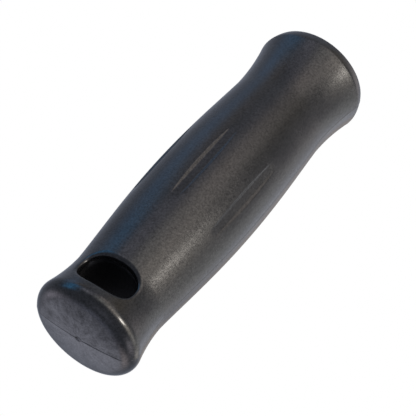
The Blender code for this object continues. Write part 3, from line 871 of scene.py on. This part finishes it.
@dataclass
class GripBody(Piece):
    """The moulded grip: dome, head round, flares, belly, slot, flutes, recess and blind bore."""

    rim_lift: float = 0.8 * MM
    length: float = 125.9 * MM
    head_radius: float = 16.9 * MM
    head_round: float = 4.3 * MM
    dome_rise: float = 0.8 * MM
    head_flare: float = 13.8 * MM
    upper_neck: float = 15.1 * MM
    belly: float = 17.8 * MM
    belly_place: float = 0.452
    lower_neck: float = 16.25 * MM
    foot_flare: float = 19.6 * MM
    land: float = 3.4 * MM
    rim_radius: float = 17.45 * MM
    flare_radius: float = 18.45 * MM
    land_crown: float = 0.12 * MM
    belly_lead: float = 0.9
    belly_softness: float = 1.3
    slot_middle: float = 112.7 * MM
    slot_width: float = 16.8 * MM
    slot_height: float = 10.6 * MM
    squareness: float = 2.7
    lip: float = 1.5 * MM
    lip_leads: tuple[float, ...] = (0.3, 0.55, 0.78, 0.92)              # rings before the lip
    slot_shares: tuple[float, ...] = (0.96, 0.85, 0.7, 0.5, 0.25, 0.0)  # rings past the lip
    window_low: float = 104.4 * MM
    window_high: float = 121.0 * MM
    window_turn: float = 45.0
    flute_middle: float = 65.47 * MM
    flute_length: float = 33.0 * MM
    flute_floor: float = 2.4 * MM
    flute_depth: float = 0.65 * MM
    flute_slope: float = 30.0
    flute_turns: tuple[float, ...] = (36.0, 90.0, 144.0)
    flute_reach: float = 9.0
    least_wall: float = 0.3 * MM
    flute_edge: float = 0.035 * MM
    seam_height: float = 0.07 * MM
    seam_width: float = 0.16 * MM
    seam_groove: float = 0.06 * MM
    seam_columns: tuple[float, ...] = (0, 0.4, 0.8, 1.3, 2.2)       # degrees from the seam
    dome_draft: float = 1.5
    gate_radius: float = 0.9 * MM
    gate_depth: float = 0.25 * MM
    gate_rows: tuple[float, ...] = (0, 0.2, 0.4, 0.6, 0.75, 0.9, 1.05, 1.25, 1.6, 2.2)  # in mm
    row_step: float = 0.85 * MM
    least_turn: float = 0.003       # radians between the dome's last row and the head's first
    land_corner: float = 0.3 * MM
    rim_edge: float = 0.25 * MM
    bore_edge: float = 0.3 * MM
    head_rows: int = 20
    land_rows: int = 7
    lip_rings: int = 11
    end_columns: int = 13                           # from the moulding seam to a flute
    skin_columns: int = 18                          # from one flute to the next
    knot_columns: tuple[int, ...] = (0, 3, 8, 12)   # from a flute's middle to each of its knots

    @property
    def ridge(self) -> float:
        """Height of the head's ridge above the rim."""
        return self.length - self.dome_rise - self.head_round

    @property
    def round_centre(self) -> float:
        """Radius at which the head's round is centred."""
        return self.head_radius - self.head_round

    @property
    def dome_radius(self) -> float:
        """Radius of the sphere that touches the head's round and rises by the dome's rise."""
        centre, rise = self.round_centre, self.dome_rise
        return (centre ** 2 + rise ** 2 + 2 * self.head_round * rise) / (2 * rise)

    def join_angle(self) -> float:
        """Return the angle below the ridge at which flare and round share a tangent."""
        angle = 0.0
        for _ in range(30):
            rise = self.round_centre + self.head_round * np.cos(angle) - self.upper_neck
            angle = np.arctan(2 * rise / (self.head_flare - self.head_round * np.sin(angle)))
        return float(angle)

    def swell(self, share: np.ndarray) -> np.ndarray:
        """Return a softened quarter sine that rises from 0 at a neck to 1 at the belly."""
        return np.sin(np.pi / 2 * np.clip(share, 0, 1) ** self.belly_lead) ** self.belly_softness

    def side_radius(self, height: np.ndarray) -> np.ndarray:
        """Return the outer radius at heights above the rim.

        From the rim up: a conical land, a parabolic flare, a belly between two necks, a second
        parabolic flare, and the round of the head.

        Args:
            height: metres above the rim.

        Returns:
            Radii of the same shape.
        """
        height = np.asarray(height, float)
        foot = self.land + self.foot_flare
        neck = self.ridge - self.head_flare
        belly = foot + self.belly_place * (neck - foot)
        angle = self.join_angle()
        join = self.ridge - self.head_round * np.sin(angle)
        top = self.round_centre + self.head_round * np.cos(angle)
        drop = np.clip(np.abs(height - self.ridge), 0, self.head_round)
        pieces = [
            (height <= self.land,
             self.rim_radius + (self.flare_radius - self.rim_radius) * height / self.land),
            (height <= foot, self.lower_neck + (self.flare_radius - self.lower_neck)
             * ((foot - height) / self.foot_flare) ** 2),
            (height <= belly, self.lower_neck + (self.belly - self.lower_neck)
             * self.swell((height - foot) / (belly - foot))),
            (height <= neck, self.upper_neck + (self.belly - self.upper_neck)
             * self.swell((neck - height) / (neck - belly))),
            (height <= join, self.upper_neck + (top - self.upper_neck)
             * ((height - neck) / (join - neck)) ** 2)]
        return np.select([test for test, _ in pieces], [value for _, value in pieces],
                         self.round_centre + np.sqrt(self.head_round ** 2 - drop ** 2))

    def columns(self, rows: np.ndarray) -> np.ndarray:
        """Return each row's turns, which crowd along the flutes' edges and the moulding seam.

        Inside a flute's block the columns stand at fixed shares of its floor, its sloping wall
        and the skin beside it, so their lines follow the flute's edges as it tapers.

        Args:
            rows: (radius, height) of the rows.

        Returns:
            Array (rows, columns) in radians from -pi.
        """
        radius = np.clip(rows[:, 0], self.upper_neck, None)
        floor = self.flute_floor / 2
        depth = self.depth_at(rows[:, 1])
        climb = np.tan(np.radians(self.flute_slope))
        reach = radius * (-climb + np.sqrt(climb ** 2 + 2 * (floor * climb + depth) / radius))
        floor_turn = np.degrees(np.arcsin(floor / radius))
        wall_turn = np.degrees(np.arcsin(np.maximum(reach, floor + self.least_wall) / radius))
        knots = np.stack([0 * radius, floor_turn, wall_turn, 0 * radius + self.flute_reach], 1)
        last = self.knot_columns[-1]
        marks, share = np.array(self.knot_columns) / last, np.arange(last + 1) / last
        span = np.clip(np.searchsorted(marks, share, side="right") - 1, 0, 2)
        part = (share - marks[span]) / (marks[span + 1] - marks[span])
        half = knots[:, span] * (1 - part) + knots[:, span + 1] * part
        block = np.concatenate([-half[:, :0:-1], half], 1)
        seam = np.array(self.seam_columns)
        ends = [turn + side * self.flute_reach for turn in self.flute_turns for side in (-1, 1)]
        skins = [np.r_[seam[:-1], np.linspace(seam[-1], ends[0], self.end_columns)[:-1]]]
        skins += [np.linspace(low, high, self.skin_columns)[1:-1]
                  for low, high in zip(ends[1::2], ends[2::2])]
        skins += [np.r_[np.linspace(ends[-1], 180 - seam[-1], self.end_columns)[1:],
                        180 - seam[-2::-1]]]
        skins = [np.broadcast_to(skin, (len(rows), len(skin))) for skin in skins]
        blocks = [turn + block for turn in self.flute_turns]
        parts = [strip for pair in zip(skins, blocks) for strip in pair] + skins[-1:]
        return wheel(np.radians(np.concatenate(parts, 1)))

    def depth_at(self, height: np.ndarray) -> np.ndarray:
        """Return the flutes' depth at heights: a parabola that fades out at both ends."""
        share = (height - self.flute_middle) / (self.flute_length / 2)
        return self.flute_depth * np.clip(1 - share ** 2, 0, None)

    def outline(self) -> tuple[np.ndarray, int]:
        """Return the whole profile from the dome's middle down to the bore's end.

        Returns:
            (radius, height) rows, and the number of rows that belong to the outer skin.
        """
        edge = np.arcsin(self.round_centre / (self.dome_radius - self.head_round))
        across = np.concatenate([np.array(self.gate_rows), np.arange(3.0, 13.0, 0.8)]) * MM
        turn = np.arcsin(across / self.dome_radius)
        turn = turn[turn < edge - self.least_turn]
        dome = np.stack([self.dome_radius * np.sin(turn),
                         self.length - self.dome_radius * (1 - np.cos(turn))], 1)
        bend = np.linspace(np.pi / 2 - edge, -self.join_angle(), self.head_rows)
        head = np.stack([self.round_centre + self.head_round * np.cos(bend),
                         self.ridge + self.head_round * np.sin(bend)], 1)
        stops = [head[-1, 1], self.window_low - self.rim_lift, self.land + self.foot_flare,
                 self.land + self.land_corner]
        heights = np.concatenate([
            np.linspace(high, low, int(np.ceil((high - low) / self.row_step)) + 1)[1:]
            for high, low in zip(stops, stops[1:])])
        side = np.stack([self.side_radius(heights), heights], 1)
        share = np.linspace(0, 1, self.land_rows)[1:-1]
        lands = np.stack([self.flare_radius + (self.rim_radius - self.flare_radius) * share
                          + self.land_crown * 4 * share * (1 - share), self.land * (1 - share)], 1)
        corner = rounded(side[-1:], np.array([[self.flare_radius, self.land]]), lands[:1])
        hollow = self.cartridge
        rim = stepped([tuple(lands[-1]), (self.rim_radius, 0.0), (hollow.recess_radius, 0.0),
                       (hollow.recess_radius, hollow.recess_floor - self.rim_lift)],
                      1.2 * MM, self.rim_edge)
        skin = [dome, head, side, corner, lands]
        outer = np.concatenate([*skin, rim[1:]])
        outer[:, 1] += self.rim_lift
        floor = np.stack([hollow.hole_radii, 0 * hollow.hole_radii + hollow.recess_floor], 1)
        bore = stepped([(hollow.bore_radius, hollow.recess_floor),
                        (hollow.bore_radius, hollow.bore_end), (0.0, hollow.bore_end)],
                       6 * MM, self.bore_edge)
        return np.concatenate([outer, floor, bore]), sum(map(len, skin))

    def fluted(self, points: np.ndarray, rows: np.ndarray) -> np.ndarray:
        """Press the flutes into the skin.

        Seen along the axis, a flute's floor is a straight line set in from the skin by the
        depth, and its walls climb from the floor's edges at one slope. The skin is taken where
        it lies further in, with a small round where they meet.

        Args:
            points: the grid's points.
            rows: (radius, height) of the rows.

        Returns:
            The grid's points with the flutes in them.
        """
        radius = np.hypot(points[..., 0], points[..., 1])
        turn = np.arctan2(points[..., 1], points[..., 0])
        depth = np.broadcast_to(self.depth_at(rows[:, 1])[:, None], radius.shape)
        climb = np.tan(np.radians(self.flute_slope))
        soft = self.flute_edge
        for centre in [side * t for side in (-1, 1) for t in self.flute_turns]:
            off = (turn - np.radians(centre) + np.pi) % (2 * np.pi) - np.pi
            out, across = radius * np.cos(off), radius * np.sin(off)
            rise = (np.abs(across) - self.flute_floor / 2) * climb
            wall = radius - depth + 0.5 * (rise + np.sqrt(rise ** 2 + soft ** 2))
            gap = wall - out
            lower = out + 0.5 * (gap - np.sqrt(gap ** 2 + soft ** 2))
            share = np.clip(depth / (0.2 * self.flute_depth), 0, 1)
            inside = (np.abs(off) < np.radians(self.flute_reach)) & (depth > 0)
            out = np.where(inside, out + (lower - out) * share, out)
            place = spun(np.hypot(out, across), points[..., 2],
                         np.radians(centre) + np.arctan2(across, out))
            points = np.where(inside[..., None], place, points)
        return points

    def seamed(self, points: np.ndarray, skin: int) -> np.ndarray:
        """Raise the moulding seam at both sides and give the dome its draft and gate mark.

        The seam is a bell-shaped ridge where Y is 0, and a groove across the dome, which falls
        away on both sides of it at the draft angle. The gate is a pit in the dome's middle.

        Args:
            points: the grid's points.
            skin: how many rows belong to the outer skin.

        Returns:
            The grid's points with those marks.
        """
        points = points.copy()
        outer = points[:skin]
        radius = np.hypot(outer[..., 0], outer[..., 1])
        away = np.abs(outer[..., 1])
        on_side = np.clip((radius - self.round_centre) / (self.head_round * 0.8), 0, 1)
        ridge = self.seam_height * np.exp(-(away / self.seam_width) ** 2) * on_side
        ridge = np.minimum(ridge, np.maximum(self.flare_radius - radius, 0))
        scale = 1 + ridge / np.maximum(radius, self.gate_radius)
        outer[..., 0] *= scale
        outer[..., 1] *= scale
        top = np.clip((outer[..., 2] - self.rim_lift - self.ridge) / self.head_round, 0, 1)
        fall = np.tan(np.radians(self.dome_draft)) * away * top
        groove = self.seam_groove * np.exp(-(away / self.seam_width) ** 2) * (1 - on_side)
        outer[..., 2] -= fall + groove
        pit = self.gate_depth * np.exp(-(radius / self.gate_radius) ** 4) * top
        outer[..., 2] -= pit
        return points

    def slot_rings(self, rim: np.ndarray) -> np.ndarray:
        """Return the rings from a window's rim, over the slot's lip, to the middle of the grip.

        The slot's outline is a superellipse. Each rim point keeps its direction from the
        slot's middle: first it slides over the skin to the lip's outer edge, then round a
        quarter circle, whose growth is lip times (1 - cos) and depth lip times (1 - sin), and
        then straight along Y to the middle.

        Args:
            rim: coordinates of the window's rim.

        Returns:
            Array (rings, points, 3).
        """
        side = np.sign(rim[0, 1])
        away = np.column_stack([rim[:, 0], rim[:, 2] - self.slot_middle])

        def outline(growth: float) -> np.ndarray:
            """Superellipse grown by an amount, in the rim points' directions."""
            half = np.array([self.slot_width, self.slot_height]) / 2 + growth
            reach = (np.abs(away / half) ** self.squareness).sum(1) ** (-1 / self.squareness)
            return away * reach[:, None]

        def at_depth(flat: np.ndarray, depth: float) -> np.ndarray:
            """Lay flat points on the skin, sunk by a depth."""
            height = self.slot_middle + flat[:, 1]
            skin = self.side_radius(height - self.rim_lift) - depth
            deep = side * np.sqrt(skin ** 2 - flat[:, 0] ** 2)
            return np.column_stack([flat[:, 0], deep, height])

        edge = outline(self.lip)
        rings = [at_depth(away + (edge - away) * share, 0.0) for share in self.lip_leads]
        for turn in np.linspace(np.pi / 2, 0, self.lip_rings):
            rings.append(at_depth(outline(self.lip * (1 - np.cos(turn))),
                                  self.lip * (1 - np.sin(turn))))
        mouth = rings[-1]
        rings += [mouth * (1, share, 1) for share in self.slot_shares]
        return np.stack(rings)

    def surface(self) -> Lathe:
        """Return the grip's closed surface, with its slot and its blind screw holes."""
        rows, skin = self.outline()
        turns = self.columns(rows)
        grid = spun(rows[:, :1], rows[:, 1:], turns)
        grid = self.seamed(self.fluted(grid, rows), skin)
        lathe = Lathe(grid)
        window = [int(np.argmin(np.abs(rows[:skin, 1] - height)))
                  for height in (self.window_high, self.window_low)]
        for side in (-90.0, 90.0):
            rim = lathe.around(window, turns[window[1]], side, self.window_turn)
            lathe.grow(rim, self.slot_rings(lathe.place_of(rim)))
        hollow = self.cartridge
        deep = hollow.screw_depth - hollow.recess_floor
        holes = hollow.drill(lathe, rows, turns[-1], hollow.recess_floor, [0.0, 0.3 * deep, deep])
        for loop, middle in zip(holes, hollow.screw_places(hollow.screw_depth)):
            lathe.grow(loop, np.broadcast_to(middle, (1, len(loop), 3)))
        return lathe


# ---- studio ------------------------------------------------------------------------------------
@dataclass(frozen=True)
class SoftLobe:
    """A soft patch of light in the studio, as a reflector or a diffused lamp gives."""

    azimuth: float          # degrees from the camera's side of the grip, clockwise from above
    elevation: float        # degrees above the horizon
    spread: float           # degrees to about a third of the brightness
    colour: tuple[float, float, float]


@dataclass
class Studio:
    """Pale floor, soft surroundings and the camera."""

    floor_radius: float = 3.0
    floor_sides: int = 96
    base: tuple[float, float, float] = (0.34, 0.37, 0.45)
    towards: tuple[float, float, float] = (-0.4067, -0.9135, 0.0)
    camera_reach: float = 0.3433
    camera_height: float = 0.2986
    lens: float = 121.15
    sensor: float = 36.0
    clip: tuple[float, float] = (0.01, 20.0)
    pitch: float = 34.1         # degrees below the level
    heading: float = 0.46
    roll: float = -138.4
    lobes: tuple[SoftLobe, ...] = (
        # the ground all round
        SoftLobe(-92, -34, 12, (0.13, 0.33, 0.63)),
        SoftLobe(-72, -34, 12, (0.28, 0.15, 0.01)),
        SoftLobe(-30, -34, 12, (0.23, 0.22, 0.29)),
        SoftLobe(-12, -34, 12, (1.24, 1.03, 0.89)),
        SoftLobe(6, -34, 12, (1.13, 1.01, 0.92)),
        SoftLobe(62, -34, 14, (0.24, 0.22, 0.21)),
        SoftLobe(100, -34, 12, (0.78, 0.79, 0.75)),
        SoftLobe(128, -34, 12, (0.79, 0.81, 0.88)),
        SoftLobe(155, -34, 12, (0.23, 0.14, 0.02)),
        # the horizon, brightest to the right of the camera
        SoftLobe(-75, -12, 13, (0.02, 0.83, 1.83)),
        SoftLobe(-80, 9, 12, (0.06, 0.88, 1.87)),
        SoftLobe(-45, -12, 13, (1.35, 1.31, 1.52)),
        SoftLobe(-15, -12, 13, (1.81, 1.77, 1.63)),
        SoftLobe(12, -12, 13, (3.39, 3.01, 2.59)),
        SoftLobe(34, -12, 13, (3.63, 3.28, 2.87)),
        SoftLobe(55, -12, 13, (2.92, 2.63, 2.22)),
        SoftLobe(80, -12, 13, (2.27, 2.17, 1.97)),
        SoftLobe(110, -12, 13, (1.93, 1.81, 1.64)),
        # the ground under the grip
        SoftLobe(-45, -58, 18, (0.24, 0.24, 0.24)),
        SoftLobe(20, -58, 18, (0.32, 0.22, 0.04)),
        SoftLobe(95, -58, 18, (0.88, 0.75, 0.67)),
        # the sky, and the sun last
        SoftLobe(180, 30, 15, (0.94, 0.94, 1.1)),
        SoftLobe(180, 64, 18, (0.55, 0.57, 0.77)),
        SoftLobe(140, 35, 16, (1.63, 1.41, 1.4)),
        SoftLobe(-140, 35, 16, (1.33, 1.23, 1.44)),
        SoftLobe(0, 62, 18, (0.33, 0.33, 0.42)),
        SoftLobe(90, 20, 16, (1.79, 1.66, 1.79)),
        SoftLobe(37, -10, 6, (36, 34, 31)))

    def level_axes(self) -> tuple[Vector, Vector]:
        """Return the level unit vectors towards the camera and a quarter turn clockwise of it."""
        front = Vector(self.towards).normalized()
        return front, Vector((0, 0, 1)).cross(front) * -1

    def direction(self, azimuth: float, elevation: float) -> Vector:
        """Return a unit vector at an azimuth from the camera's side and an elevation."""
        front, side = self.level_axes()
        turn, lift = np.radians(azimuth), np.radians(elevation)
        level = front * float(np.cos(turn)) + side * float(np.sin(turn))
        return level * float(np.cos(lift)) + Vector((0, 0, float(np.sin(lift))))

    def light(self) -> None:
        """Fill the world with the soft lobes.

        Each lobe is exp(k (cos angle - 1)) times its colour, with k set by its spread.
        """
        world = bpy.data.worlds.new("studio")
        bpy.context.scene.world = world
        world.use_nodes = True
        graph = Graph(world.node_tree)
        ray = graph.vector_math("NORMALIZE", graph.add("TexCoord").outputs["Generated"])
        total: object = self.base
        for lobe in self.lobes:
            aim = tuple(self.direction(lobe.azimuth, lobe.elevation))
            near = graph.vector_math("DOT_PRODUCT", ray, aim, "Value")
            sharpness = 1 / (1 - float(np.cos(np.radians(lobe.spread))))
            off = graph.math("SUBTRACT", near, 1.0)
            glow = graph.math("EXPONENT", graph.math("MULTIPLY", off, sharpness))
            tint = graph.add("VectorMath", operation="SCALE")
            tint.inputs[0].default_value = lobe.colour
            graph.feed(tint.inputs["Scale"], glow)
            total = graph.vector_math("ADD", total, tint.outputs[0])
        background = graph.add("Background")
        graph.feed(background.inputs["Color"], total)
        graph.show("OutputWorld", background)

    def lay_floor(self) -> None:
        """Lay a round white floor that shows from above and lets the view through from below."""
        turn = np.linspace(0, 2 * np.pi, self.floor_sides + 1)[:-1]
        mesh = bpy.data.meshes.new("floor")
        mesh.from_pydata(spun(self.floor_radius, 0.0, turn).tolist(), [],
                         [list(range(self.floor_sides))])
        made = bpy.data.materials.new("pale_floor")
        made.use_nodes = True
        graph = Graph(made.node_tree)
        glow = graph.add("Emission")
        glow.inputs["Color"].default_value = (1.0, 1.0, 1.0, 1.0)
        clear = graph.add("BsdfTransparent")
        either = graph.add("MixShader")
        graph.feed(either.inputs[0], graph.add("NewGeometry").outputs["Backfacing"])
        graph.feed(either.inputs[1], glow.outputs[0])
        graph.feed(either.inputs[2], clear.outputs[0])
        graph.show("OutputMaterial", either)
        mesh.materials.append(made)
        floor = bpy.data.objects.new("floor", mesh)
        bpy.context.scene.collection.objects.link(floor)
        for ray in ("glossy", "diffuse", "shadow", "transmission"):
            setattr(floor, f"visible_{ray}", False)

    def set_camera(self) -> None:
        """Stand the camera before the slot, looking down along the grip, rolled on its side."""
        front, side = self.level_axes()
        down, turn = np.radians(self.pitch), np.radians(self.heading)
        level = -front * float(np.cos(turn)) + side * float(np.sin(turn))
        forward = level * float(np.cos(down)) - Vector((0, 0, float(np.sin(down))))
        right = forward.cross(Vector((0, 0, 1))).normalized()
        above = right.cross(forward)
        roll = float(np.radians(self.roll))
        rolled = right * np.cos(roll) + above * np.sin(roll)
        upright = rolled.cross(forward)
        place = front * self.camera_reach + Vector((0, 0, self.camera_height))
        lens = bpy.data.cameras.new("camera")
        lens.lens = self.lens
        lens.sensor_width = self.sensor
        lens.clip_start, lens.clip_end = self.clip
        camera = bpy.data.objects.new("camera", lens)
        bpy.context.scene.collection.objects.link(camera)
        turned = Matrix((rolled, upright, -forward)).transposed().to_4x4()
        camera.matrix_world = Matrix.Translation(place) @ turned
        bpy.context.scene.camera = camera


# ---- carried-over pieces -----------------------------------------------------------------------
@dataclass
class InnerWorks:
    """The cartridge's CAD nodes, which keep their meshes and get a proper finish each."""

    finishes: tuple[tuple[Finish, tuple[str, ...]], ...] = (
        (STAINLESS, ("upper_thrust_washer",)),
        (RUBBER, ("shaft_seal", "flange_gasket")),
        (ACETAL, ("lower_bush", "upper_bush")),
        (NYLON, ("lower_thrust_washer",)),
        (SPRING, ("wave_washer", "retaining_circlip")))

    def dress(self) -> None:
        """Give each node its finish in every material slot it has."""
        for finish, nodes in self.finishes:
            made = finish.material()
            for name in nodes:
                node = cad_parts[name]
                if not node.data.materials:
                    node.data.materials.append(made)
                for slot in node.material_slots:
                    slot.material = made
                LOG.info("%s: dressed in %s", name, finish.name)


def main() -> None:
    """Build the grip, dress the cartridge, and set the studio."""
    logging.basicConfig(level=logging.INFO, format="%(message)s")
    bpy.context.scene.view_settings.view_transform = "Standard"
    GripBody("grip_shell", Body.GRIP, Slot.MOULDING, PLASTIC, "grip_body").build()
    Spindle("turned_spindle", Body.SPINDLE, Slot.STAINLESS, STAINLESS, "spindle").build()
    Sleeve("flanged_sleeve", Body.GRIP, Slot.ALLOY, ALLOY, "bearing_sleeve").build()
    for turn in range(3):
        Screw(f"pan_screw_{turn + 1}", Body.GRIP, Slot.SCREW, SCREW, f"sleeve_screw_{turn + 1}",
              turn=turn).build()
    InnerWorks().dress()
    studio = Studio()
    studio.lay_floor()
    studio.light()
    studio.set_camera()


if __name__ == "__main__":
    main()
